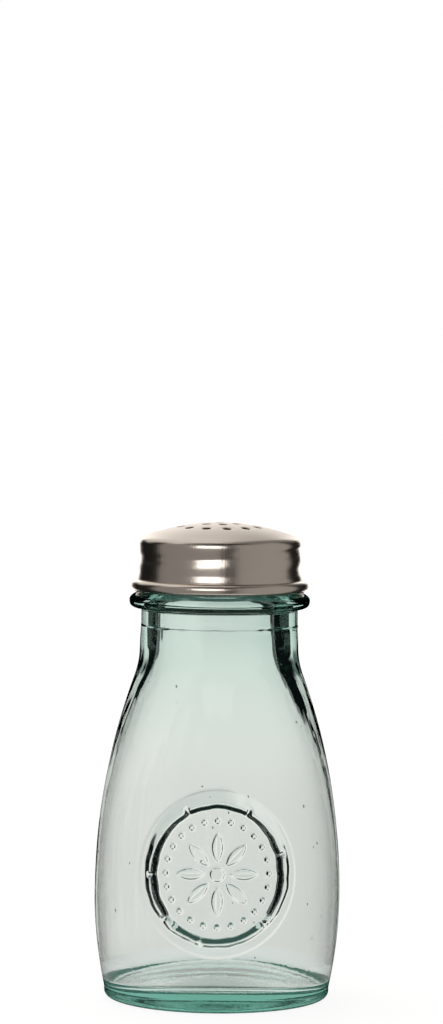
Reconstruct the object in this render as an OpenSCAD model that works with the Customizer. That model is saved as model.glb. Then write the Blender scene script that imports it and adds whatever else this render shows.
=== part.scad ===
// Parmesan shaker: a moulded glass jar, a perforated steel screw cap and the soft ring that seals it.
// Millimetres, +Z up. The origin is the middle of the foot, and the medallion faces -Y.

/* [Jar body] */
// Height of the glass from the foot to the lip
jar_h = 136.9; // [130:0.1:150]
// Diameter of the belly at its widest
belly_d = 74; // [70:0.5:78]
// Height of the belly's widest line
belly_z = 31; // [26:0.5:36]
// How far the foot band stands in from the belly's widest line
foot_inset = 3.1; // [2.5:0.1:5]
// Height of the foot band, up to the base plate's mould line
foot_band_h = 3.2; // [2.6:0.1:5]
// Radius of the rounded heel
heel_r = 2; // [1:0.1:2.5]
// Width of the flat ring that the jar stands on
rest_w = 7; // [4:0.5:10]
// Rise of the hollow under the base
pushup_h = 1.8; // [1:0.1:2.5]
// Radius of the hollow curve between the shoulder and the neck
shoulder_r = 25; // [15:1:35]

/* [Jar wall] */
// Thickness of the glass at the belly
wall_t = 1.6; // [1.2:0.1:2.4]
// Thickness of the base at the foot of the wall
floor_t = 5.5; // [4.5:0.1:7]
// Rise of the floor at its middle
floor_rise = 1; // [0.5:0.1:2]
// Radius of the inside corner between floor and wall
floor_corner_r = 4.5; // [3:0.1:6]
// Height below the neck over which the wall thickens
thicken_h = 32; // [20:1:45]

/* [Neck] */
// Diameter of the neck below the parting line
neck_d = 47.8; // [46:0.1:49]
// Straight height of the neck below the parting line
neck_h = 6.4; // [4:0.1:9]
// Diameter of the neck ring above the parting line
neck_ring_d = 47; // [46:0.1:48.4]
// Height of the neck ring, from the parting line to the collar
neck_ring_h = 5.1; // [3:0.1:8]
// How far the parting line stands out
parting_h = 0.4; // [0.1:0.05:0.8]
// Height of the parting line's ridge
parting_w = 1; // [0.5:0.1:2]
// Diameter of the collar under the cap
collar_d = 54.3; // [52:0.1:56]
// Height of the collar
collar_h = 5; // [4:0.1:6]
// Bore of the mouth
bore_d = 38.4; // [36:0.1:39.5]

/* [Thread] */
// Height of the threaded finish, from the collar to the lip
finish_h = 14.6; // [13.5:0.1:17]
// Diameter of the finish between the turns of the thread
finish_d = 44.4; // [43.6:0.1:44.8]
// Height of one turn of the thread
thread_pitch = 5.6; // [5.2:0.1:6.2]
// Depth of the cap's groove below its outside
groove_depth = 0.9; // [0.6:0.05:1]
// Distance from the lip down to the cap's groove at the right-hand side
groove_drop = 7.7; // [7:0.1:8.5]
// Gap between the glass thread and the cap's wall
thread_gap = 0.4; // [0.3:0.05:0.6]
// Height of the glass thread above the cap's groove
thread_offset = 2.3; // [2.2:0.05:2.6]
// Radius of the lip's rounded edges
lip_r = 1.1; // [0.5:0.1:1.2]

/* [Cap] */
// Diameter of the cap's side
cap_d = 49; // [48.6:0.1:50]
// Thickness of the steel sheet
sheet_t = 0.5; // [0.4:0.05:0.7]
// Rise of the dome above the cap's rim
dome_h = 6.5; // [5:0.1:8]
// Radius of the rim's rounded edge
knuckle_r = 2.5; // [2:0.1:3]
// Diameter over the curled lower edge
curl_d = 53.9; // [52.5:0.1:55]
// Radius of the curl's section
curl_r = 1.8; // [1.5:0.1:2]
// Gap between the curl and the top of the collar
curl_gap = 0.1; // [0.1:0.05:1]
// Slit between the end of the curl and the cap's side
curl_slit = 0.35; // [0.2:0.05:0.5]

/* [Holes] */
// Diameter of one sprinkling hole
hole_d = 2.6; // [1.8:0.1:3.2]
// Radius of the inner ring of holes
inner_ring_r = 5.3; // [4.6:0.1:6.5]
// Number of holes in the inner ring
inner_ring_n = 6; // [4:1:8]
// Radius of the outer ring of holes
outer_ring_r = 11.9; // [10.5:0.1:15]
// Number of holes in the outer ring
outer_ring_n = 12; // [8:1:16]
// Turn of the hole pattern from the front
hole_turn = 10; // [0:1:30]

/* [Seal] */
// Thickness of the sealing ring
seal_t = 0.9; // [0.7:0.1:1.3]
// Width of the sealing ring, from its bore to its outer edge
seal_w = 4.4; // [3.4:0.1:5]
// Gap between the sealing ring and the cap's side
seal_side_gap = 0.8; // [0.5:0.1:1]
// Gap between the sealing ring and the rim above it
seal_top_gap = 0.3; // [0.2:0.05:0.4]

/* [Medallion] */
// Height of the medallion's centre
medal_z = 41.8; // [38:0.2:46]
// Radius of the raised pad
pad_r = 24; // [22:0.2:25]
// Height of the pad above the belly
pad_h = 0.3; // [0.2:0.05:0.5]
// Radius of the rim's crest
rim_r = 20.4; // [19:0.2:21]
// Width of the rim
rim_w = 2.6; // [2:0.1:3]
// Height of the rim above the belly
rim_h = 1.3; // [0.9:0.05:1.5]
// Number of beads inside the rim
bead_n = 24; // [12:1:30]
// Radius of the bead circle
bead_ring_r = 15.6; // [14.5:0.1:16.5]
// Radius of one bead
bead_r = 1.1; // [0.8:0.1:1.4]
// Number of petals in the rosette
petal_n = 8; // [6:1:10]
// Length of one petal
petal_l = 9; // [7:0.2:10]
// Width of one petal
petal_w = 3.4; // [2.4:0.1:4]
// Radius at which the petals start
petal_start_r = 3.4; // [3:0.1:4.5]
// Radius of the rosette's middle
boss_r = 2.2; // [1.5:0.1:2.6]
// Height of the rosette above the belly
motif_h = 0.8; // [0.6:0.05:1]

/* [Hidden] */
$fn = 96;
belly_r = belly_d / 2;
foot_r = belly_r - foot_inset;
neck_r = neck_d / 2;
neck_ring_r = neck_ring_d / 2;
collar_r = collar_d / 2;
bore_r = bore_d / 2;
finish_r = finish_d / 2;
cap_r = cap_d / 2;
cap_in_r = cap_r - sheet_t;
// Heights of the neck, taken down from the lip
collar_top_z = jar_h - finish_h;
collar_z = collar_top_z - collar_h / 2;
collar_low_z = collar_top_z - collar_h;
parting_z = collar_low_z - neck_ring_h;
neck_z = parting_z - neck_h;
// The belly is two arcs that meet upright at its widest line; the upper one runs into the shoulder's arc
lower_r = (pow(foot_inset, 2) + pow(belly_z - foot_band_h, 2)) / (2 * foot_inset);
arcs_r = (pow(belly_r - neck_r, 2) + pow(neck_z - belly_z, 2)) / (2 * (belly_r - neck_r));
upper_r = arcs_r - shoulder_r;
shoulder_low_z = belly_z + upper_r * (neck_z - belly_z) / arcs_r;
thicken_z = neck_z - thicken_h;
// Heights of the cap, which sits on the sealing ring
rim_z = jar_h + seal_t + seal_top_gap
    - sqrt(pow(knuckle_r - sheet_t, 2) - pow(knuckle_r - sheet_t - seal_side_gap, 2));
knuckle_x = cap_r - knuckle_r;
crown_r = (pow(dome_h, 2) + pow(knuckle_x, 2) - pow(knuckle_r, 2)) / (2 * (dome_h - knuckle_r));
crown_z = rim_z + dome_h - crown_r;
crown_tilt = asin(knuckle_x / (crown_r - knuckle_r));
curl_z = collar_top_z + curl_gap + curl_r;
curl_x = curl_d / 2 - curl_r;
groove_z = jar_h - groove_drop;
// Half widths of the thread's sections, at the bottom and at the mouth
groove_half = [0.4, 1.5];
ridge_half = [0.8, 1.8];
glass_half = [0.4, 1.3];
// First angle and turn of the thread on the cap and on the glass
cap_thread = [-60, 450];
glass_thread = [-270, 450];
thread_step = 10;
thread_fade = 0.12;
// How deep one shape is sunk in another that it grows from
bite = 0.2;
body_steps = 32;
arc_steps = 8;

function smooth(x) = let (t = min(1, max(0, x))) t * t * (3 - 2 * t);
function reversed(list) = [for (i = [len(list) - 1:-1:0]) list[i]];
function arc(x, z, rx, rz, from, to) =
    [for (i = [0:arc_steps])
        let (a = from + (to - from) * i / arc_steps)
            [x + rx * cos(a), z + rz * sin(a)]];

// Outside radius of the glass body at a height
function belly_arc(z, r) = belly_r - r + sqrt(r * r - pow(z - belly_z, 2));
function body_r(z) =
    z < belly_z ? belly_arc(z, lower_r)
    : z < shoulder_low_z ? belly_arc(z, upper_r)
    : z < neck_z ? neck_r + shoulder_r - sqrt(shoulder_r * shoulder_r - pow(neck_z - z, 2))
    : neck_r;
// Thickness of the body's wall at a height: thin at the belly, thick where it meets the bore
function wall(z) = wall_t + (neck_r - bore_r - wall_t) * smooth((z - thicken_z) / thicken_h);
function body_line(low, high) =
    [for (i = [0:body_steps]) let (z = low + (high - low) * i / body_steps) [body_r(z), z]];
function wall_line(low, high) =
    [for (i = [0:body_steps]) let (z = low + (high - low) * i / body_steps) [body_r(z) - wall(z), z]];

// Half section of the glass, from under the base round the outside to the lip, and down the inside
module glass_section() {
    rest_r = foot_r - heel_r - rest_w;
    corner_z = floor_t + floor_corner_r;
    corner_x = body_r(corner_z) - wall(corner_z) - floor_corner_r;
    underside = [for (i = [0:arc_steps]) let (t = i / arc_steps) [rest_r * t, pushup_h * (1 - t * t)]];
    parting = [
        [neck_r, parting_z - parting_w / 2],
        [neck_r + parting_h, parting_z],
        [neck_ring_r, parting_z + parting_w / 2]
    ];
    floor_line = [
        for (i = [1:arc_steps])
            let (t = 1 - i / arc_steps)
                [corner_x * t, floor_t + floor_rise * (1 - t * t)]
    ];
    polygon(concat(
        underside,
        arc(foot_r - heel_r, heel_r, heel_r, heel_r, -90, 0),
        body_line(foot_band_h, neck_z),
        parting,
        arc(neck_ring_r, collar_z, collar_r - neck_ring_r, collar_h / 2, -90, 0),
        arc(finish_r, collar_z, collar_r - finish_r, collar_h / 2, 90 / arc_steps, 90),
        arc(finish_r - lip_r, jar_h - lip_r, lip_r, lip_r, 0, 90),
        arc(bore_r + lip_r, jar_h - lip_r, lip_r, lip_r, 90, 180),
        reversed(wall_line(corner_z, neck_z)),
        arc(corner_x, corner_z, floor_corner_r, floor_corner_r, 0, -90),
        floor_line
    ));
}

// A bar wound round the axis at the thread's pitch. section(ease) gives its corners as [radius, height],
// and ease runs from 0 at both ends to 1, so the bar rises out of the wall that it grows from.
module wound_bar(span, mid_z, section) {
    steps = round(span[1] / thread_step);
    sides = len(section(0));
    points = [
        for (i = [0:steps])
            let (t = i / steps, a = span[0] + span[1] * t, ease = smooth(min(t, 1 - t) / thread_fade))
                for (p = section(ease))
                    [p[0] * cos(a), p[0] * sin(a), mid_z + thread_pitch * a / 360 + p[1]]
    ];
    first_end = [[for (j = [sides - 1:-1:0]) j]];
    last_end = [[for (j = [0:sides - 1]) steps * sides + j]];
    skin = [
        for (i = [0:steps - 1], j = [0:sides - 1])
            let (a = i * sides + j, b = i * sides + (j + 1) % sides)
                each [[a, b, b + sides], [a, b + sides, a + sides]]
    ];
    polyhedron(points, concat(first_end, last_end, skin));
}

module glass_thread_bar() {
    crest_r = cap_in_r - thread_gap;
    root_r = finish_r - 3 * bite;
    section = function(ease) let (r = finish_r - bite + (crest_r - finish_r + bite) * ease) [
        [root_r, -glass_half[1]],
        [r, -glass_half[0]],
        [r, glass_half[0]],
        [root_r, glass_half[1]]
    ];
    wound_bar(glass_thread, groove_z + thread_offset, section);
}

// The inside of the cap's rolled thread, where the sheet is pushed in
module cap_ridge() {
    root_r = cap_r - bite;
    section = function(ease) let (r = cap_in_r + bite - (groove_depth + bite) * ease) [
        [r, -ridge_half[0]],
        [root_r, -ridge_half[1]],
        [root_r, ridge_half[1]],
        [r, ridge_half[0]]
    ];
    wound_bar(cap_thread, groove_z, section);
}

// The outside of the cap's rolled thread
module cap_groove() {
    mouth_r = cap_r + 2 * bite;
    section = function(ease) let (r = cap_r + bite - (groove_depth + bite) * ease) [
        [r, -groove_half[0]],
        [mouth_r, -groove_half[1]],
        [mouth_r, groove_half[1]],
        [r, groove_half[0]]
    ];
    wound_bar(cap_thread, groove_z, section);
}

// Half outline of the belly's two arcs, grown outwards
module belly_outline(grow) {
    intersection() {
        translate([belly_r - lower_r, belly_z])
            circle(lower_r + grow);
        translate([0, foot_band_h])
            square([belly_d, belly_z - foot_band_h]);
    }
    intersection() {
        translate([belly_r - upper_r, belly_z])
            circle(upper_r + grow);
        translate([0, belly_z])
            square([belly_d, shoulder_low_z - belly_z]);
    }
}

// A raised shape on the front of the belly: the flat outline given as child, seen from the front
module relief(height, sunk) {
    difference() {
        intersection() {
            rotate_extrude()
                belly_outline(height);
            rotate([90, 0, 0])
                translate([0, medal_z, 0])
                    linear_extrude(belly_d)
                        children();
        }
        rotate_extrude()
            belly_outline(-sunk);
    }
}

module ring_outline(outer, inner) {
    difference() {
        circle(outer);
        circle(inner);
    }
}

// One petal is where two equal circles overlap
module petal_outline() {
    r = (pow(petal_l / 2, 2) + pow(petal_w / 2, 2)) / petal_w;
    translate([0, petal_start_r + petal_l / 2])
        intersection() {
            translate([r - petal_w / 2, 0])
                circle(r);
            translate([petal_w / 2 - r, 0])
                circle(r);
        }
}

module medallion() {
    relief(pad_h, wall_t / 2)
        circle(pad_r);
    relief(rim_h, wall_t / 3)
        ring_outline(rim_r + rim_w / 2, rim_r - rim_w / 2);
    relief(motif_h, wall_t / 4) {
        circle(boss_r);
        for (i = [0:petal_n - 1])
            rotate(360 * i / petal_n)
                petal_outline();
    }
    for (i = [0:bead_n - 1]) {
        a = 360 * i / bead_n;
        x = bead_ring_r * sin(a);
        z = medal_z + bead_ring_r * cos(a);
        r = body_r(z) + motif_h - bead_r;
        translate([x, -sqrt(r * r - x * x), z])
            sphere(bead_r);
    }
}

module glass_jar() {
    color([0.78, 0.87, 0.82, 0.6])
        union() {
            rotate_extrude()
                glass_section();
            glass_thread_bar();
            medallion();
        }
}

// Half outline of the dome and its rounded rim, at a depth below the outside
function dome_line(depth) = concat(
    [for (i = [0:2 * arc_steps]) let (a = crown_tilt * i / (2 * arc_steps))
        [(crown_r - depth) * sin(a), crown_z + (crown_r - depth) * cos(a)]],
    [for (i = [1:arc_steps]) let (a = crown_tilt + (90 - crown_tilt) * i / arc_steps)
        [knuckle_x + (knuckle_r - depth) * sin(a), rim_z + (knuckle_r - depth) * cos(a)]]
);

// The lower edge, rolled outwards and back up to the side with a slit left open
module curl_section() {
    difference() {
        translate([curl_x, curl_z])
            ring_outline(curl_r, curl_r - sheet_t);
        translate([0, curl_z - 2 * curl_r])
            square([cap_in_r, 4 * curl_r]);
        translate([0, curl_z])
            square([cap_r + curl_slit, 2 * curl_r]);
    }
}

module cap_section() {
    skirt_z = curl_z - curl_r / 2;
    polygon(concat(
        dome_line(0),
        [[cap_r, skirt_z], [cap_in_r, skirt_z]],
        reversed(dome_line(sheet_t))
    ));
    curl_section();
}

module hole_ring(count, radius) {
    for (i = [0:count - 1])
        rotate(hole_turn - 90 + 360 * i / count)
            translate([radius, 0, rim_z])
                cylinder(d = hole_d, h = 2 * dome_h);
}

module shaker_cap() {
    color([0.72, 0.70, 0.68])
        difference() {
            union() {
                rotate_extrude()
                    cap_section();
                cap_ridge();
            }
            cap_groove();
            hole_ring(1, 0);
            hole_ring(inner_ring_n, inner_ring_r);
            hole_ring(outer_ring_n, outer_ring_r);
        }
}

module seal_ring() {
    outer_r = cap_in_r - seal_side_gap;
    color([0.93, 0.93, 0.90])
        translate([0, 0, jar_h])
            difference() {
                cylinder(r = outer_r, h = seal_t);
                translate([0, 0, -bite])
                    cylinder(r = outer_r - seal_w, h = seal_t + 2 * bite);
            }
}

glass_jar();
shaker_cap();
seal_ring();
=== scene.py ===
import math
from collections import namedtuple

import bmesh
import bpy
import numpy as np
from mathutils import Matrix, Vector
from mathutils.geometry import delaunay_2d_cdt


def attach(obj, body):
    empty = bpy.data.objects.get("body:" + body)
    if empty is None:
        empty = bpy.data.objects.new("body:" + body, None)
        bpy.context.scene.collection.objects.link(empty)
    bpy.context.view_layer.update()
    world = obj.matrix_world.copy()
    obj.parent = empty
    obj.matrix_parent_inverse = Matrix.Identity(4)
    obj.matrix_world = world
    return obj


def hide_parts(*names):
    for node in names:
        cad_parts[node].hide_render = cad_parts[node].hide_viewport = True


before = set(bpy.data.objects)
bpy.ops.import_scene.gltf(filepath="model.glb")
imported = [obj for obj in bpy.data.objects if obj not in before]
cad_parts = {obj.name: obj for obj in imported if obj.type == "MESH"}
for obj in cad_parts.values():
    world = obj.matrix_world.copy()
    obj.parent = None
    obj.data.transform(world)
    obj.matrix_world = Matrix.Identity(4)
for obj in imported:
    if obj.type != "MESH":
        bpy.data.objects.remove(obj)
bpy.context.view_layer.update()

# Glass jar
# One piece of pale green recycled glass, blown and pressed in a mould: a thin belly, a thick neck
# and base, a parting line where the neck ring meets the mould, and a round medallion on the front.
# Sizes of the pieces are in millimetres.
MM = 0.001
JAR_H = 136.9
BELLY_R, BELLY_Z = 37.0, 31.0
FOOT_R, FOOT_BAND_H, HEEL_R, REST_R, PUSHUP_H = 33.9, 3.2, 2.0, 26.0, 3.0
NECK_R, NECK_RING_R, NECK_Z = 23.9, 23.5, 105.8
COLLAR_R, COLLAR_Z, COLLAR_HALF, COLLAR_FULL = 27.15, 119.8, 2.5, 0.72
FINISH_R, BORE_R, LIP_R = 22.2, 19.2, 1.1
SHOULDER_R, LOWER_R, UPPER_R, SHOULDER_Z = 25.0, 126.2, 195.0, 97.3
FLOOR_T, FLOOR_RISE, FLOOR_CORNER_H, FLOOR_CORNER_W = 5.5, 1.0, 3.0, 7.0
WALL_Z, WALL_T = (50, 70, 80, 90, 98, 108), (0.85, 1.15, 1.7, 2.6, 3.5, 4.7)
NECK_THICKER, NECK_ONE_SIDE, FLOOR_SAG, FLOOR_SAG_TWICE = 1.6, 0.6, -1.2, 1.5
PARTING_Z, PARTING_LOW, PARTING_BAND = 112.2, 111.6, 1.2
RIDGE_W, RIDGE_H, RIDGE_SIDE_H, RIDGE_WANDER = 0.2, 0.22, 0.33, 0.05
THREAD_PITCH, THREAD_Z, THREAD_H, THREAD_HALF, THREAD_EDGE = 5.6, 131.5, 1.4, 1.3, 0.9
THREAD_START, THREAD_STOP, THREAD_FADE = -270, 180, 54
DENT_H, STREAK_H, SLOW_H, RIPPLE_H = 0.06, 0.04, 0.06, 0.008
MEDAL_Z, MEDAL_ARC_R, RELIEF_H = 41.8, 36.7, 0.75
PAD_R, PAD_IN_R, PAD_H, PAD_EDGE = 25.0, 18.5, 0.28, 0.9
RIM_R, RIM_TALLER, RIM_WANDER, RIM_RAGGED = 19.9, 0.7, 0.14, 0.12
RIM_H, RIM_FOOT, RIM_IN_W, RIM_OUT_W, RIM_HIGH_AT = 1.2, 1.6, 0.95, 2.4, 205
NICKS_AT, NICK_HALF_A, NICK_DEPTH = (116, 63, 16, -47, -103, -139, 182), 0.034, 0.6
BEADS, BEAD_RING_R, BEAD_R, BEAD_EDGE = 24, 15.6, 1.05, 0.65
PETALS, PETAL_MID_R, PETAL_HALF, PETAL_HALF_W, PETAL_EDGE = 8, 7.9, 4.5, 1.75, 0.55
VEIN_DEPTH, VEIN_W, VEIN_HALF, VEIN_EDGE = 0.2, 0.25, 3.6, 0.8
BOSS_R, BOSS_EDGE = 2.3, 0.6
SEEDS, SEED_LATITUDES, SEED_COLS = 34, (-54, -18, 18, 54), 8
FOOT_ROWS, MEDAL_ROWS, UPPER_ROWS = (2.6, 16.4, 17), (16.7, 67.1, 160), (68.2, 111.4, 42)
FRONT_A, FRONT_COLS, BACK_COLS = 40.6, 175, 63
PLAIN, BODY, PARTING, COLLAR, FINISH, INSIDE, FLOOR = range(7)
GLASS_TINT, GLASS_DENSITY, GLASS_IOR = (0.06, 0.6, 0.48, 1), 25, 1.52


def smooth(x):
    """Eased step: 0 below 0, 1 above 1, and 3x^2 - 2x^3 between."""
    t = np.clip(x, 0, 1)
    return t * t * (3 - 2 * t)


def ramp(x, start, stop):
    """Eased step of x, from 0 at start to 1 at stop."""
    return smooth((x - start) / (stop - start))


def bell(x):
    """Bell curve of height 1 and width about 1: e to the minus x squared."""
    return np.exp(-x * x)


def wave(seed, psi, z, count, turns, lengths=(50, 60)):
    """Sum of sine waves with whole numbers of turns round the jar and random lengths along its height,
    scaled so that it stays mostly between -1 and 1."""
    rng = np.random.default_rng(seed)
    around = rng.integers(turns[0], turns[1] + 1, count)
    along = 2 * math.pi / rng.uniform(*lengths, count) * rng.choice([-1, 1], count)
    phase = rng.uniform(0, 2 * math.pi, count)
    waves = [np.sin(a * psi + k * z + p) for a, k, p in zip(around, along, phase)]
    return sum(waves) / math.sqrt(2 * count)


def body_radius(z):
    """Outside radius by height: two arcs that meet upright at the widest line, then the shoulder's hollow
    arc, then the neck."""
    low = BELLY_R - LOWER_R + np.sqrt(LOWER_R**2 - np.minimum(z - BELLY_Z, 0)**2)
    high = BELLY_R - UPPER_R + np.sqrt(UPPER_R**2 - np.clip(z - BELLY_Z, 0, SHOULDER_Z - BELLY_Z)**2)
    drop = np.clip(NECK_Z - z, 0, NECK_Z - SHOULDER_Z)
    hollow = NECK_R + SHOULDER_R - np.sqrt(SHOULDER_R**2 - drop**2)
    return np.where(z < BELLY_Z, low, np.where(z < SHOULDER_Z, high, hollow))


def wall_thickness(z):
    """Thin at the belly and full at the neck: a broken line, rounded by its mean over ten millimetres of
    height."""
    return np.mean([np.interp(z + s, WALL_Z, WALL_T) for s in np.linspace(-5, 5, 11)], axis=0)


def arc(r, z, wide, high, start, stop, count, full=1.0):
    """Points of an ellipse round (r, z) from one angle to another, in degrees; a power under 1 makes it
    fuller."""
    a = np.radians(np.linspace(start, stop, count))
    across, up = np.cos(a), np.sin(a)
    across, up = np.sign(across) * np.abs(across)**full, np.sign(up) * np.abs(up)**full
    return np.stack([r + wide * across, z + high * up], 1)


def line(r0, z0, r1, z1, count):
    """Points of a straight line, without its first one."""
    t = np.linspace(0, 1, count + 1)[1:]
    return np.stack([r0 + (r1 - r0) * t, z0 + (z1 - z0) * t], 1)


def round_angles(count):
    """Angles of evenly spaced points round a circle."""
    return np.arange(count) * 2 * math.pi / count


def round_axis(r, z, psi):
    """Points at a radius and a height, at angles from the front, -Y, towards the right, +X."""
    return np.stack(np.broadcast_arrays(r * np.sin(psi), -r * np.cos(psi), z), -1)


def medal_rim(reach, phi):
    """Height of the medallion's rim, by the distance outside its line and the angle round it: the lower of
    two flanks that climb from its inner and its outer foot, slightly eased, times the crest's height.
    What is added by direction makes the inner flank steep at the sides and low at the bottom, and the
    crest highest at the lower left. Bell-shaped nicks across the rim take most of it away."""
    ragged = RIM_RAGGED * wave(6, phi, 0, 6, (9, 31))
    up, down = np.maximum(np.sin(phi), 0), np.maximum(-np.sin(phi), 0)
    left, flat = np.maximum(-np.cos(phi), 0), np.sqrt(np.cos(phi)**2 + 0.01)
    corner = np.maximum(np.cos(phi - math.radians(RIM_HIGH_AT)), 0)**4
    bottom = ramp(down, 0.68, 0.78)
    inner = RIM_IN_W + 0.15 * flat + 0.6 * up**4 + 0.15 * down**4 + (0.3 + 0.7 * left) * bottom
    outer = RIM_OUT_W + 0.5 * left**2 + 1.8 * up**2 - down**2 - 0.9 * down * flat + 0.3 * corner
    inner_foot = RIM_FOOT + ragged
    outer_foot = 0.3 - 0.6 * left**2 - 0.3 * down**2 + outer + ragged
    side = np.clip(np.minimum((inner_foot + reach) / inner, (outer_foot - reach) / outer), 0, 1)
    crest = RIM_H + 0.57 * flat + 0.2 * left + 0.4 * up**2 + 0.15 * np.sin(phi) + 0.4 * corner
    nicks = sum(bell(np.angle(np.exp(1j * (phi - math.radians(a)))) / NICK_HALF_A) for a in NICKS_AT)
    cut = NICK_DEPTH * np.clip(nicks, 0, 1) * ramp(reach, 1.8, 0.4)
    return crest * (0.85 * side + 0.15 * smooth(side)) * (1 - cut)


def medallion(psi, z):
    """Height of the relief over the belly, on the belly laid flat round the medallion's middle: a low pad,
    the rim, a ring of round beads and a rosette. A petal is the lens that two equal circles share, with a
    groove along it, and a round boss fills the middle."""
    u, v = MEDAL_ARC_R * psi, z - MEDAL_Z
    rho, phi = np.hypot(u, v), np.arctan2(v, u)
    taller = RIM_TALLER * np.sin(phi)**2
    pad = PAD_H * smooth((PAD_R - rho) / PAD_EDGE) * smooth((rho - PAD_IN_R - taller) / PAD_EDGE)
    rim = medal_rim(rho - RIM_R - taller - RIM_WANDER * wave(5, phi, 0, 7, (3, 17)), phi)
    bead_a = 2 * math.pi / BEADS
    beside = rho * (phi - np.round(phi / bead_a) * bead_a)
    bead = RELIEF_H * smooth((BEAD_R - np.hypot(rho - BEAD_RING_R, beside)) / BEAD_EDGE)
    petal_a = 2 * math.pi / PETALS
    lean = (phi - math.pi / 2) - np.round((phi - math.pi / 2) / petal_a) * petal_a
    across, along = rho * np.sin(lean), rho * np.cos(lean) - PETAL_MID_R
    petal_r = (PETAL_HALF**2 + PETAL_HALF_W**2) / (2 * PETAL_HALF_W)
    depth = petal_r - np.hypot(np.abs(across) + petal_r - PETAL_HALF_W, along)
    petal = RELIEF_H * smooth(depth / PETAL_EDGE)
    vein = VEIN_DEPTH * bell(across / VEIN_W) * smooth((VEIN_HALF - np.abs(along)) / VEIN_EDGE)
    boss = RELIEF_H * smooth((BOSS_R - rho) / BOSS_EDGE)
    return pad + rim + bead + np.maximum(petal - vein * (petal > 0), 0) + boss


def along_thread(psi, z, middle_z, start, stop, section):
    """Height of a section carried along a screw line that climbs one pitch a turn from one angle to another,
    in degrees from the right side, and fades at both ends."""
    height = 0 * z * psi
    for whole in (-360, 0, 360):
        a = np.degrees(psi) - 90 + whole
        ease = smooth((a - start) / THREAD_FADE) * smooth((stop - a) / THREAD_FADE)
        height = np.maximum(height, ease * section(z - middle_z - THREAD_PITCH * a / 360))
    return height


def thread_bar(off):
    """Section of the glass thread, by the height off its middle: flat on top with eased edges."""
    return THREAD_H * smooth((THREAD_HALF - np.abs(off)) / THREAD_EDGE)


def ring_faces(rows, cols):
    """Four-sided faces of a grid whose columns close round the axis."""
    i, j = np.meshgrid(np.arange(rows - 1), np.arange(cols), indexing="ij")
    a, b = i * cols + j, i * cols + (j + 1) % cols
    return np.stack([a, b, b + cols, a + cols], -1).reshape(-1, 4).tolist()


def fan_faces(pole, first, cols, turned):
    """Triangles from a pole to the ring of points that starts at first."""
    j = np.arange(cols)
    tris = np.stack([np.full(cols, pole), first + (j + 1) % cols, first + j], 1)
    return (tris[:, ::-1] if turned else tris).tolist()


def closed_faces(rows, cols):
    """Faces of a grid that closes round the axis, and at each end on a pole. The two poles follow the
    grid's own points."""
    pole = rows * cols
    ends = fan_faces(pole, 0, cols, False) + fan_faces(pole + 1, pole - cols, cols, True)
    return ring_faces(rows, cols) + ends


def flipped(faces):
    """The same faces, turned the other way."""
    return [face[::-1] for face in faces]


def shifted(faces, start):
    """The same faces, on points that are counted from start."""
    return [[i + start for i in face] for face in faces]


def unit_ball(latitudes, cols):
    """Points of a ball of radius 1, in rows at these latitudes in degrees, then its poles, and its faces."""
    lat, lon = np.meshgrid(np.radians(latitudes), round_angles(cols), indexing="ij")
    rows = np.stack([np.cos(lat) * np.cos(lon), np.cos(lat) * np.sin(lon), np.sin(lat)], -1)
    points = np.concatenate([rows.reshape(-1, 3), [[0, 0, -1], [0, 0, 1]]])
    return points, closed_faces(len(latitudes), cols)


def make_piece(name, points, faces, material, unit=MM):
    """Smooth mesh object at the origin. The unit is how many metres 1 is in its points."""
    mesh = bpy.data.meshes.new(name)
    mesh.from_pydata((np.asarray(points) * unit).tolist(), [], faces)
    mesh.polygons.foreach_set("use_smooth", np.ones(len(mesh.polygons), bool))
    mesh.materials.append(material)
    mesh.update()
    piece = bpy.data.objects.new(name, mesh)
    bpy.context.scene.collection.objects.link(piece)
    return piece


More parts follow.
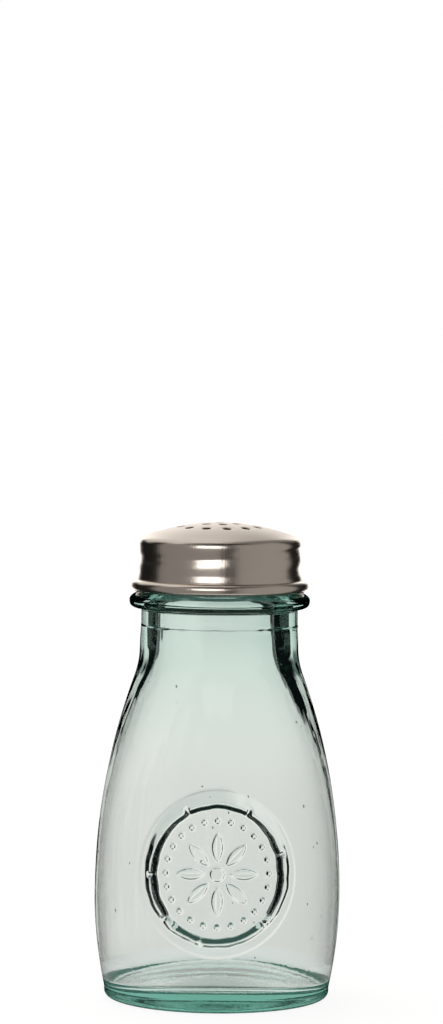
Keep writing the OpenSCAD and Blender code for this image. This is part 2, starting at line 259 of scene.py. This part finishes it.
def jar_grid():
    """Rows of the jar's section, from under the base round the outside to the lip and down the inside, each
    with a mark that says which rows take the outside relief, the thread or the inside waves."""
    corner_z = FLOOR_T + FLOOR_CORNER_H
    corner_r = float(body_radius(corner_z) - wall_thickness(corner_z)) - FLOOR_CORNER_W
    t = np.linspace(0.08, 1, 13)
    under = np.stack([REST_R * t, PUSHUP_H * (1 - t * t)**2], 1)
    heel = arc(FOOT_R - HEEL_R, HEEL_R, HEEL_R, HEEL_R, -90, 0, 7)
    z = np.concatenate([np.linspace(*rows) for rows in (FOOT_ROWS, MEDAL_ROWS, UPPER_ROWS)])
    body = np.stack([body_radius(np.maximum(z, FOOT_BAND_H)), z], 1)
    t = np.linspace(0, 1, 13)
    parting = np.stack([NECK_R - (NECK_R - NECK_RING_R) * smooth(t), PARTING_LOW + PARTING_BAND * t], 1)
    collar = np.concatenate([
        line(NECK_RING_R, 113.4, NECK_RING_R, COLLAR_Z - COLLAR_HALF, 5),
        arc(NECK_RING_R, COLLAR_Z, COLLAR_R - NECK_RING_R, COLLAR_HALF, -86, 0, 16, COLLAR_FULL),
        arc(FINISH_R, COLLAR_Z, COLLAR_R - FINISH_R, COLLAR_HALF, 6, 90, 11)])
    finish = line(FINISH_R, COLLAR_Z + COLLAR_HALF, FINISH_R, JAR_H - LIP_R, 26)
    lip = np.concatenate([arc(FINISH_R - LIP_R, JAR_H - LIP_R, LIP_R, LIP_R, 15, 90, 6),
                          arc(BORE_R + LIP_R, JAR_H - LIP_R, LIP_R, LIP_R, 90, 180, 6)])
    z = np.concatenate([np.linspace(133.5, NECK_Z, 11), np.linspace(103.5, corner_z, 44)])
    inside = np.stack([body_radius(z) - wall_thickness(z), z], 1)
    corner = arc(corner_r, corner_z, FLOOR_CORNER_W, FLOOR_CORNER_H, -6, -90, 15)
    t = np.linspace(0.94, 0.06, 16)
    floor = np.stack([corner_r * t, FLOOR_T + FLOOR_RISE * (1 - t * t)**2], 1)
    parts = [(under, PLAIN), (heel, PLAIN), (body, BODY), (parting, PARTING), (collar, COLLAR),
             (finish, FINISH), (lip, PLAIN), (inside, INSIDE), (corner, FLOOR), (floor, FLOOR)]
    rows = np.concatenate([p for p, _ in parts])
    marks = np.concatenate([np.full(len(p), mark) for p, mark in parts])
    return rows, marks


def seed_bubbles(count):
    """Small closed bubbles inside the belly's wall, drawn out upwards and turned inside out because they are
    holes in the glass."""
    rng = np.random.default_rng(17)
    z = rng.uniform(14, 96, count)
    psi = rng.uniform(-math.pi, math.pi, count)
    size = rng.uniform(0.12, 0.3, count)
    r = body_radius(z) - wall_thickness(z) * rng.uniform(0.35, 0.65, count)
    tall = np.stack([size, size, size * rng.uniform(1, 2.2, count)], 1)
    ball, faces = unit_ball(SEED_LATITUDES, SEED_COLS)
    points = (round_axis(r, z, psi)[:, None] + ball[None] * tall[:, None]).reshape(-1, 3)
    return points, [f for i in range(count) for f in shifted(flipped(faces), i * len(ball))]


def jar_mesh():
    """The section's rows carried round the axis by columns that lie close together over the medallion, with
    the relief, the nicked parting line, the thread and the slow waves of hand-made glass added to the
    radius, a thicker neck wall taken off the bore, and a floor that sags and rises twice a turn."""
    rows, marks = jar_grid()
    front = np.radians(np.linspace(-FRONT_A, FRONT_A, FRONT_COLS))
    back = np.radians(np.linspace(FRONT_A, 360 - FRONT_A, BACK_COLS)[1:-1])
    psi = np.concatenate([front, back])
    near = np.angle(np.exp(1j * psi))[None]
    r, z, mark = rows[:, :1], rows[:, 1:], marks[:, None]

    dents = DENT_H * np.minimum(wave(1, near, z, 9, (1, 5), (25, 90)) - 0.7, 0) * ramp(z, 4, 12)
    on_body = (mark == BODY) * (dents + medallion(near, z))

    face = ramp(np.cos(near), -0.3, 0.7)
    nicks = np.clip(0.2 + 1.1 * wave(2, near, 0, 9, (5, 47)), 0, 1.2)
    ridge_h = (RIDGE_H + RIDGE_SIDE_H * smooth(2.2 * np.abs(np.sin(near)) - 0.6)) * nicks
    ridge = ridge_h * bell((z - PARTING_Z + RIDGE_WANDER * wave(3, near, 0, 5, (2, 9))) / RIDGE_W) * face
    even = (mark == PARTING) * smooth((z - PARTING_LOW) / PARTING_BAND)
    sharp = (mark == PARTING) * ramp(z, 112.0, 112.4)
    taper = ramp(z, 106, 113)
    step = (NECK_R - NECK_RING_R) * (even - face * sharp - (1 - face) * taper)
    on_neck = ((mark == BODY) | (mark == PARTING)) * (ridge + step)

    on_finish = (mark == FINISH) * along_thread(near, z, THREAD_Z, THREAD_START, THREAD_STOP, thread_bar)

    streaks = STREAK_H * wave(4, near, z, 12, (5, 26), (60, 400)) * ramp(z, 60, 90)
    slow = SLOW_H * wave(7, near, z, 8, (1, 4), (30, 120))
    ripple = RIPPLE_H * wave(8, near, z, 14, (14, 46), (2.5, 7))
    within = ((mark == INSIDE) | (mark == FLOOR)) * ramp(r, 6, 18) * ramp(z, JAR_H - 6, JAR_H - 18)
    on_inside = within * (-streaks - slow - ripple * ramp(z, 22, 13))
    thicker = (NECK_THICKER + NECK_ONE_SIDE * np.sin(near)) * ramp(z, 60, 120) * ramp(z, 130, 120)

    outwards = np.where(mark == FLOOR, np.minimum(r / 33, 1)**2, (mark == INSIDE) * ramp(z, 24, 8))
    sag = (FLOOR_SAG + FLOOR_SAG_TWICE * np.cos(2 * near)) * outwards
    lift = (mark == FLOOR) * ripple * ramp(r, 14, 28) + sag

    radius = r + on_body + on_neck + on_finish + on_inside - (mark == INSIDE) * thicker
    poles = [[0, 0, PUSHUP_H], [0, 0, FLOOR_T + FLOOR_RISE]]
    shell = np.concatenate([round_axis(radius, z + lift, psi).reshape(-1, 3), poles])
    bubbles, bubble_faces = seed_bubbles(SEEDS)
    faces = closed_faces(len(rows), len(psi)) + shifted(bubble_faces, len(shell))
    return np.concatenate([shell, bubbles]), faces


class Shade:
    """A socket in a node tree, used as a number: an operator adds one Math node."""

    def __init__(self, tree, socket=None):
        self.tree, self.socket = tree, socket

    def node(self, kind, settings=None, inputs=None, out=0):
        """Adds a node of a type, makes its settings, gives its sockets values or links, and returns one
        output."""
        made = self.tree.nodes.new(kind)
        for key, value in (settings or {}).items():
            setattr(made, key, value)
        for key, value in (inputs or {}).items():
            if isinstance(value, Shade):
                value.into(made, key)
            else:
                made.inputs[key].default_value = value
        return Shade(self.tree, made.outputs[out])

    def into(self, node, key):
        """Links this value to a socket of a node."""
        self.tree.links.new(self.socket, node.inputs[key])

    def maths(self, operation, *values):
        """One Math node on numbers or sockets."""
        return self.node("ShaderNodeMath", {"operation": operation}, dict(enumerate(values)))

    def step(self, low, high):
        """Eased step of this value from low to high."""
        return self.node("ShaderNodeMapRange", {"interpolation_type": "SMOOTHSTEP"},
                         {"Value": self, "From Min": low, "From Max": high})

    def blend(self, first, second):
        """Colour between two others: the first where this value is 0, the second where it is 1."""
        return self.node("ShaderNodeMix", {"data_type": "RGBA"}, {"Factor": self, 6: first, 7: second}, 2)

    def noise(self, scale, detail, roughness=0.5):
        """Noise at this place, with so many cells a metre."""
        return self.node("ShaderNodeTexNoise", inputs={
            "Vector": self, "Scale": scale, "Detail": detail, "Roughness": roughness})

    def part(self, axis):
        """One coordinate of this place."""
        return self.node("ShaderNodeSeparateXYZ", inputs={"Vector": self}, out=axis)

    def __add__(self, other):
        return self.maths("ADD", self, other)

    def __sub__(self, other):
        return self.maths("SUBTRACT", self, other)

    def __rsub__(self, other):
        return self.maths("SUBTRACT", other, self)

    def __mul__(self, other):
        return self.maths("MULTIPLY", self, other)

    __radd__ = __add__
    __rmul__ = __mul__


def new_material(name):
    """A node material with its Shade, its Principled shader and its output node."""
    material = bpy.data.materials.new(name)
    material.use_nodes = True
    shader = material.node_tree.nodes["Principled BSDF"]
    output = material.node_tree.nodes["Material Output"]
    return material, Shade(material.node_tree), shader, output


def recycled_glass():
    """Clear glass that absorbs red most. Upright streaks, stronger towards the neck, fine orange peel and a
    rougher foot bend its surface."""
    material, ink, shader, output = new_material("recycled_glass")
    place = ink.node("ShaderNodeTexCoord", out="Object")
    tall = ink.node("ShaderNodeMapping", inputs={"Vector": place, "Scale": (1, 1, 0.1)})
    streak = tall.noise(260, 1, 0.4)
    peel = place.noise(190, 1)
    rough = place.noise(900, 2)
    height = place.part("Z")
    upper = height.step(0.06, 0.1)
    low = 0.1 * height.step(0.022, 0.008) + 0.5 * height.step(0.0035, 0.001)
    uneven = streak * (0.35 + 0.3 * upper) + 0.1 * peel + low * rough
    bump = ink.node("ShaderNodeBump", inputs={"Height": uneven, "Strength": 1.0, "Distance": 0.00012})
    bump.into(shader, "Normal")
    shader.inputs["Base Color"].default_value = (1, 1, 1, 1)
    shader.inputs["Roughness"].default_value = 0.0
    shader.inputs["IOR"].default_value = GLASS_IOR
    shader.inputs["Transmission Weight"].default_value = 1.0
    absorb = ink.node("ShaderNodeVolumeAbsorption", inputs={"Color": GLASS_TINT, "Density": GLASS_DENSITY})
    absorb.into(output, "Volume")
    return material


jar = make_piece("jar_glass", *jar_mesh(), recycled_glass())
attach(jar, "jar")
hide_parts("glass_jar")

# Sealing ring
# A flat soft washer, cut from white translucent sheet, that lies inside the cap. The cap presses it on
# the glass lip and lifts it when it is unscrewed.
SEAL_IN, SEAL_OUT, SEAL_T, SEAL_EDGE, SEAL_COLS = 18.8, 23.2, 0.9, 0.18, 120
SEAL_SHADE, SEAL_WHITE = (0.74, 0.74, 0.70, 1), (0.88, 0.88, 0.85, 1)


def seal_mesh():
    """A rectangle with small rounded corners carried round the axis."""
    inner, outer = SEAL_IN + SEAL_EDGE, SEAL_OUT - SEAL_EDGE
    bottom, top = JAR_H + SEAL_EDGE, JAR_H + SEAL_T - SEAL_EDGE
    corners = [(outer, bottom, -90), (outer, top, 0), (inner, top, 90), (inner, bottom, 180)]
    rows = np.concatenate([arc(r, z, SEAL_EDGE, SEAL_EDGE, a, a + 90, 4) for r, z, a in corners])
    points = round_axis(rows[:, :1], rows[:, 1:], round_angles(SEAL_COLS)).reshape(-1, 3)
    faces = ring_faces(len(rows) + 1, SEAL_COLS)
    return points, [[i % len(points) for i in face] for face in faces]


def soft_seal():
    """Matt milky sheet with a faint mottle in its colour, its roughness and its surface."""
    material, ink, shader, _ = new_material("soft_seal")
    mottle = ink.node("ShaderNodeTexCoord", out="Object").noise(420, 4)
    mottle.blend(SEAL_SHADE, SEAL_WHITE).into(shader, "Base Color")
    (0.45 + 0.2 * mottle).into(shader, "Roughness")
    bump = ink.node("ShaderNodeBump", inputs={"Height": mottle, "Strength": 0.4, "Distance": 0.00005})
    bump.into(shader, "Normal")
    return material


seal = make_piece("seal_washer", *seal_mesh(), soft_seal())
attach(seal, "seal")
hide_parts("seal_ring")

# Shaker cap
# Stainless sheet drawn to a shallow dome, punched with a ring pattern of holes, rolled with one and a
# quarter turns of thread in its side, and curled outwards at its lower edge.
CAP_R, SHEET_T, RIM_Z, KNUCKLE_R, CAP_COLS = 24.5, 0.5, 136.5, 2.5, 192
CROWN_R, CROWN_Z, CROWN_TILT = 65.0, 78.0, 20.6
CURL_R, CURL_IN_R, CURL_X, CURL_Z = 1.8, 1.3, 25.15, 124.2
SIDE_LOW_Z, FOLD_Z, BACK_LOW_Z, SWELL_H, SWELL_Z = 124.6, 123.2, 122.8, 0.3, 128.4
GROOVE_Z, GROOVE_H, GROOVE_W, GROOVE_START, GROOVE_STOP = 129.2, 0.52, 1.55, -60, 390
HOLE_R, HOLE_TURN, HOLE_COLS, HOLE_RINGS = 1.3, 10.0, 28, ((1, 0.0), (6, 5.3), (12, 11.9))
DISH_H, DISH_W, DISH_STEPS, DISH_CLEAR = 0.16, 0.3, (0.0, 0.14, 0.34, 0.62), 0.95
PLATE_R, PLATE_STEP, SAME_POINT = 19.0, 0.8, 0.002
STEEL_DULL, STEEL_BRIGHT = (0.61, 0.545, 0.485, 1), (0.68, 0.61, 0.545, 1)
# Painted shade: near-black steel colour for the holes' walls and the dome's underside.
PAINTED_HOLE_SHADE = (0.02, 0.018, 0.016, 1)


def hole_centres():
    """One hole in the middle, then rings of 6 and 12."""
    angles = [np.radians(HOLE_TURN - 90 + 360 * np.arange(n) / n) for n, _ in HOLE_RINGS]
    return np.concatenate([r * np.stack([np.cos(a), np.sin(a)], 1) for a, (_, r) in zip(angles, HOLE_RINGS)])


def hole_gap(points):
    """Distance of points from the edge of the nearest hole: from its centre, less its radius."""
    apart = points[:, None] - hole_centres()[None]
    return np.hypot(apart[..., 0], apart[..., 1]).min(1) - HOLE_R


def circle(r, count):
    """Evenly spaced points on a circle."""
    a = round_angles(count)
    return r * np.stack([np.cos(a), np.sin(a)], 1)


def plate_plan():
    """The dome's middle seen from above, as triangles: rings of points, each hole's edge and three more rings
    round it, and no face inside a hole. With it comes each point's distance from the nearest hole."""
    loops = [(hole_centres()[:, None] + circle(HOLE_R + d, HOLE_COLS)).reshape(-1, 2) for d in DISH_STEPS]
    ring_r = np.arange(PLATE_STEP, PLATE_R - PLATE_STEP / 2, PLATE_STEP)
    field = np.concatenate([circle(r, round(2 * math.pi * r / PLATE_STEP)) for r in ring_r])
    a = round_angles(CAP_COLS)
    edge = PLATE_R * np.stack([np.sin(a), -np.cos(a)], 1)
    points = np.concatenate([*loops, field[hole_gap(field) > DISH_CLEAR], edge])
    i = np.arange(len(loops[0]))
    seams = np.stack([i, i // HOLE_COLS * HOLE_COLS + (i + 1) % HOLE_COLS], 1)
    plan, _, tris, *_ = delaunay_2d_cdt([tuple(p) for p in points], seams.tolist(), [], 0, 1e-6)
    plan, tris = np.array(plan), np.array(tris)
    tris = tris[hole_gap(plan[tris].mean(1)) > -0.005 * HOLE_R]
    a, b, c = plan[tris].transpose(1, 0, 2)
    turned = np.cross(b - a, c - a) < 0
    tris[turned] = tris[turned][:, ::-1]
    return plan, tris, hole_gap(plan)


def groove_bell(off):
    """Section of the rolled thread, by the height off its middle: a bell-shaped groove."""
    return GROOVE_H * bell(off / GROOVE_W)


def crown_rows(depth):
    """Section of the crown from the plate's edge and of the knuckle, at a depth below the outside."""
    start = math.degrees(math.asin(PLATE_R / (CROWN_R - depth)))
    a = np.radians(np.linspace(start, CROWN_TILT, 7))
    crown = np.stack([(CROWN_R - depth) * np.sin(a), CROWN_Z + (CROWN_R - depth) * np.cos(a)], 1)
    bend_r = KNUCKLE_R - depth
    knuckle = arc(CAP_R - KNUCKLE_R, RIM_Z, bend_r, bend_r, 90 - CROWN_TILT, 0, 13)
    return np.concatenate([crown, knuckle[1:]])


def cap_mesh():
    """The punched plate as two sheets joined round each hole, dished a little at the holes, and the section
    of the knuckle, the side and the curl carried round the axis from the outer sheet to the inner one."""
    plan, tris, gap = plate_plan()
    r = np.hypot(plan[:, 0], plan[:, 1])
    dish = DISH_H * bell(gap / DISH_W)
    tops = [CROWN_Z + np.sqrt((CROWN_R - t)**2 - r**2) - dish for t in (0, SHEET_T)]
    sheets = [np.stack([*plan.T, top], 1) for top in tops]
    edges = np.concatenate([tris[:, [0, 1]], tris[:, [1, 2]], tris[:, [2, 0]]])
    _, first, uses = np.unique(np.sort(edges, 1), axis=0, return_index=True, return_counts=True)
    rim = edges[first[uses == 1]]
    rim = rim[r[rim].max(1) < PLATE_R - 0.1]
    count = len(plan)
    walls = np.stack([rim[:, 1], rim[:, 0], rim[:, 0] + count, rim[:, 1] + count], 1)
    plate = tris.tolist() + (tris[:, ::-1] + count).tolist() + walls.tolist()

    outer, inner = crown_rows(0), crown_rows(SHEET_T)
    side = line(CAP_R, RIM_Z, CAP_R, SIDE_LOW_Z, 44)
    hidden = np.concatenate([line(CAP_R, SIDE_LOW_Z, CAP_R, FOLD_Z, 4),
                             arc(CURL_X, CURL_Z, CURL_IN_R, CURL_IN_R, 244, 460, 14)])
    curl = arc(CURL_X, CURL_Z, CURL_R, CURL_R, 458, 231, 24)
    back = line(CAP_R - SHEET_T, BACK_LOW_Z, CAP_R - SHEET_T, RIM_Z, 44)[:-1]
    parts = [(outer, 0), (side, 1), (hidden, 0), (curl, 0), (back, 1), (inner[::-1], 0)]
    rows = np.concatenate([p for p, _ in parts])
    rolled = np.concatenate([np.full(len(p), mark) for p, mark in parts])[:, None]

    psi = round_angles(CAP_COLS)
    near, z = np.angle(np.exp(1j * psi))[None], rows[:, 1:]
    groove = along_thread(near, z, GROOVE_Z, GROOVE_START, GROOVE_STOP, groove_bell)
    fade = ramp(z, RIM_Z, RIM_Z - 1.2) * ramp(z, SIDE_LOW_Z, SIDE_LOW_Z + 1.5)
    swell = SWELL_H * ramp(z, SWELL_Z, SWELL_Z - 2.2) * ramp(z, 123, 125)
    radius = rows[:, :1] - rolled * groove * fade + rolled * swell
    grid = round_axis(radius, z, psi).reshape(-1, 3)
    skirt = shifted(flipped(ring_faces(len(rows), CAP_COLS)), 2 * count)
    return np.concatenate([*sheets, grid]), plate + skirt


def stainless_sheet():
    """Bright drawn steel: upright draw lines and finger-soft blur on the side, satin grain on the dome, and
    painted shade, near black, in the holes and under the dome, where a point lies well below the dome's
    outside."""
    material, ink, shader, _ = new_material("stainless_sheet")
    place = ink.node("ShaderNodeTexCoord", out="Object")
    x, y, height = [place.part(axis) for axis in "XYZ"]
    dome = height.step(0.1376, 0.1402)
    crown = x.maths("SQRT", x.maths("MAXIMUM", (CROWN_R * MM)**2 - x * x - y * y, 0))
    # inside: mask of painted shade, 1 in the holes and under the dome, where a point lies well below the
    # dome's outside.
    inside = (crown + CROWN_Z * MM - height).step(0.0002, 0.00032) * dome
    drawn = ink.node("ShaderNodeMapping", inputs={"Vector": place, "Scale": (1, 1, 0.02)})
    lines = drawn.noise(1300, 4, 0.7)
    grain = place.noise(3800, 2)
    cloud = place.noise(90, 3)
    # The steel's mottled colour, with painted shade in near black where the inside mask is 1.
    inside.blend(cloud.blend(STEEL_DULL, STEEL_BRIGHT), PAINTED_HOLE_SHADE).into(shader, "Base Color")
    (0.16 + 0.06 * cloud + 0.05 * lines + 0.16 * dome).into(shader, "Roughness")
    marks = lines * (1 - dome) + 0.4 * grain * dome
    bump = ink.node("ShaderNodeBump", inputs={"Height": marks, "Strength": 1.0, "Distance": 0.00003})
    bump.into(shader, "Normal")
    shader.inputs["Metallic"].default_value = 1.0
    return material


cap = make_piece("cap_steel", *cap_mesh(), stainless_sheet())
weld = bmesh.new()
weld.from_mesh(cap.data)
bmesh.ops.remove_doubles(weld, verts=weld.verts, dist=SAME_POINT * MM)
weld.to_mesh(cap.data)
weld.free()
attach(cap, "cap")
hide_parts("shaker_cap")

# Studio
# A white table and a white backdrop. A wall of light behind the jar with a dark flag on each side of it,
# a warm grey room and one softbox turn with the camera's stand. Sizes here are in metres.
CAMERA_AT, CAMERA_DOWN, CAMERA_ROLL = (-0.00025, -1.2, 0.207), 2.9017, -0.52
TABLE_R, TABLE_Z, TABLE_COLS = 3.0, -0.0002, 64
TABLE_SHADE, TABLE_PALE, TABLE_GLOW = (0.28, 0.28, 0.28, 1), (0.3, 0.3, 0.3, 1), 0.9
LIT_IN_R, LIT_OUT_R, LIT_Z, LIT_H = 0.0294, 0.0465, -0.00015, 0.0075
SHELL_R, SHELL_ROWS, SHELL_COLS = 10, 44, 96
SOFTBOX_AT, SOFTBOX_AIM = (-0.36, -1.36, 0.60), (0, 0, 0.13)
BLACK, WHITE, LIT_WHITE = (0, 0, 0, 1), (1, 1, 1, 1), (0.8, 0.84, 0.81, 1)
WALL_LOW, WALL_HIGH, FLAG = (0.67, 0.695, 0.66, 1), (0.96, 0.978, 0.92, 1), (0.004, 0.006, 0.006, 1)
GREEN_BELOW, GREEN_STRIP = (0.06, 0.115, 0.1, 1), (0.2, 0.27, 0.235, 1)
EDGE_CARD, WARM_ROOM = (0.95, 1, 0.97, 1), (1.68, 1.63, 1.57, 1)

scene = bpy.context.scene
scene.view_settings.view_transform = "Standard"
scene.cycles.max_bounces = 40
scene.cycles.transmission_bounces = 40
scene.cycles.glossy_bounces = 16
scene.cycles.blur_glossy = 0.2

lens = bpy.data.cameras.new("camera")
lens.sensor_width = 36
lens.lens = 140.6
camera = bpy.data.objects.new("camera", lens)
camera.location = CAMERA_AT
camera.rotation_euler = (math.radians(90 - CAMERA_DOWN), math.radians(CAMERA_ROLL), 0)
scene.collection.objects.link(camera)
scene.camera = camera

backdrop = bpy.data.worlds.new("backdrop")
backdrop.use_nodes = True
backdrop.node_tree.nodes["Background"].inputs["Color"].default_value = WHITE
scene.world = backdrop


def stage_object(name, points, faces, material):
    """A mesh of the studio, in metres, that isn't part of the shaker."""
    made = make_piece(name, points, faces, material, unit=1)
    return made


def table_white():
    """White table top, mostly lit from below so that it stays pale, with a little real shade."""
    material, ink, shader, _ = new_material("table_white")
    fleck = ink.node("ShaderNodeTexCoord", out="Object").noise(60, 2)
    fleck.blend(TABLE_SHADE, TABLE_PALE).into(shader, "Base Color")
    shader.inputs["Roughness"].default_value = 0.9
    shader.inputs["Specular IOR Level"].default_value = 0.0
    shader.inputs["Emission Color"].default_value = WHITE
    shader.inputs["Emission Strength"].default_value = TABLE_GLOW
    return material


def level_ring(r, z):
    """Points of a level circle on the table's columns."""
    return np.pad(circle(r, TABLE_COLS), ((0, 0), (0, 1)), constant_values=z)


table = stage_object("table", level_ring(TABLE_R, TABLE_Z), [list(range(TABLE_COLS))], table_white())
table.visible_glossy = False
table.visible_transmission = False

Way = namedtuple("Way", "side azimuth rise tilt")


def make_light(ink, shader, output, colour):
    """Turns a new material into plain light of a colour."""
    ink.node("ShaderNodeEmission", inputs={"Color": colour}).into(output, "Surface")
    ink.tree.nodes.remove(shader)


def turn_with_camera(light):
    """Keeps a light's place from the camera, wherever the camera's stand is turned."""
    light.parent = camera
    light.matrix_parent_inverse = camera.matrix_world.inverted()


def light_shell(name, colour_by_way):
    """A ball of light that the camera doesn't see, coloured by the way from its middle: how far to the side,
    the azimuth from straight behind, the rise over the level, and the tilt over the top, in degrees."""
    material, ink, shader, output = new_material(name)
    place = ink.node("ShaderNodeTexCoord", out="Object")
    way = ink.node("ShaderNodeVectorMath", {"operation": "NORMALIZE"}, {0: place}, "Vector")
    x, y, z = [way.part(axis) for axis in "XYZ"]
    azimuth = x.maths("ARCTAN2", x, y) * math.degrees(1)
    rise = z.maths("ARCSINE", z) * math.degrees(1)
    tilt = z.maths("ARCTAN2", z, y) * math.degrees(1)
    make_light(ink, shader, output, colour_by_way(Way(x, azimuth, rise, tilt)))
    ball, faces = unit_ball(np.linspace(-86, 86, SHELL_ROWS), SHELL_COLS)
    shell = stage_object(name, SHELL_R * ball, flipped(faces), material)
    shell.visible_camera = False
    turn_with_camera(shell)
    return shell


def through_glass(way):
    """What the glass lets through: a white wall behind, wider and brighter on the left and brighter towards
    its top, between two dark flags, dim green below it and in a short strip above its middle."""
    wide = way.azimuth.step(-27.5, -25.5) * way.azimuth.step(22.5, 20.5)
    wall = wide * way.rise.step(24, 16) * way.rise.step(-29, -23)
    white = (way.rise.step(-24, 12) + 0.6 * way.azimuth.step(0, -6)).blend(WALL_LOW, WALL_HIGH)
    sides = way.rise.step(-26, -32).blend(FLAG, GREEN_BELOW)
    middle = way.azimuth.step(-12, -8) * way.azimuth.step(12, 8)
    strip = way.rise.step(9, 15) * way.rise.step(29, 24) * middle
    return strip.blend(wall.blend(sides, white), GREEN_STRIP)


def round_glass(way):
    """What the glass mirrors: white cards on both sides, bright where the edge of the jar shows them, and a
    dim room in front."""
    turn = way.azimuth.maths("ABSOLUTE", way.azimuth)
    level = 0.9 * turn.step(14, 19) * turn.step(64, 52) + 0.03 * turn.step(52, 64)
    return level.blend(BLACK, EDGE_CARD)


def round_steel(way):
    """What the steel mirrors: white behind and overhead, black flags beside it, a dark ceiling over the
    camera, and a warm grey room with a dark gap just right of the camera."""
    side, azimuth, rise, tilt = way
    front = (180 - azimuth.maths("ABSOLUTE", azimuth)) * azimuth.maths("SIGN", azimuth)
    back = azimuth.step(-28, -22) * azimuth.step(26, 20) * rise.step(30, 22)
    across = side.step(-0.85, -0.6) * (1 - 0.75 * side.step(-0.05, 0.3)) * side.step(0.75, 0.5)
    overhead = tilt.step(20, 28) * tilt.step(108, 100) * across
    walls = 1 - azimuth.step(-86, -80) * azimuth.step(66, 60)
    room = walls * rise.step(-70, -45) * rise.step(58, 44)
    gap = front.step(2, 5) * front.step(26, 20)
    below = rise.step(-50, -65)
    behind = 0.008 + back + 0.54 * overhead * (1 - back)
    level = behind + 0.2 * room * (1 - 0.8 * gap) * (1 + 0.15 * side) + 0.44 * below
    return level.blend(BLACK, WARM_ROOM)


def only_on(light, name, *pieces):
    """Lets a light reach these pieces alone."""
    group = bpy.data.collections.new(name)
    for piece in pieces:
        group.objects.link(piece)
    light.light_linking.receiver_collection = group


bpy.context.view_layer.update()
passed = light_shell("through_glass", through_glass)
passed.visible_glossy = passed.visible_diffuse = False
edge_cards = light_shell("round_glass", round_glass)
edge_cards.visible_transmission = edge_cards.visible_diffuse = False
only_on(edge_cards, "glass_only", jar)
steel_room = light_shell("round_steel", round_steel)
steel_room.visible_transmission = False
only_on(steel_room, "steel_seal_and_table", cap, seal, table)


def lit_plate():
    """White of the lit table just round the foot, with a low edge round it, as the base's glass shows it."""
    material, ink, shader, output = new_material("lit_plate")
    make_light(ink, shader, output, LIT_WHITE)
    rings = [level_ring(LIT_IN_R, LIT_Z), level_ring(LIT_OUT_R, LIT_Z), level_ring(LIT_OUT_R, LIT_H)]
    return stage_object("lit_plate", np.concatenate(rings), ring_faces(len(rings), TABLE_COLS), material)


plate = lit_plate()
plate.visible_camera = plate.visible_glossy = plate.visible_diffuse = False

key = bpy.data.lights.new("softbox", "AREA")
key.shape, key.size, key.size_y, key.energy = "RECTANGLE", 1.0, 0.75, 5.5
softbox = bpy.data.objects.new("softbox", key)
scene.collection.objects.link(softbox)
softbox.location = SOFTBOX_AT
softbox.rotation_euler = (Vector(SOFTBOX_AIM) - softbox.location).to_track_quat("-Z", "Y").to_euler()
softbox.visible_camera = False
turn_with_camera(softbox)
only_on(softbox, "steel_only", cap)
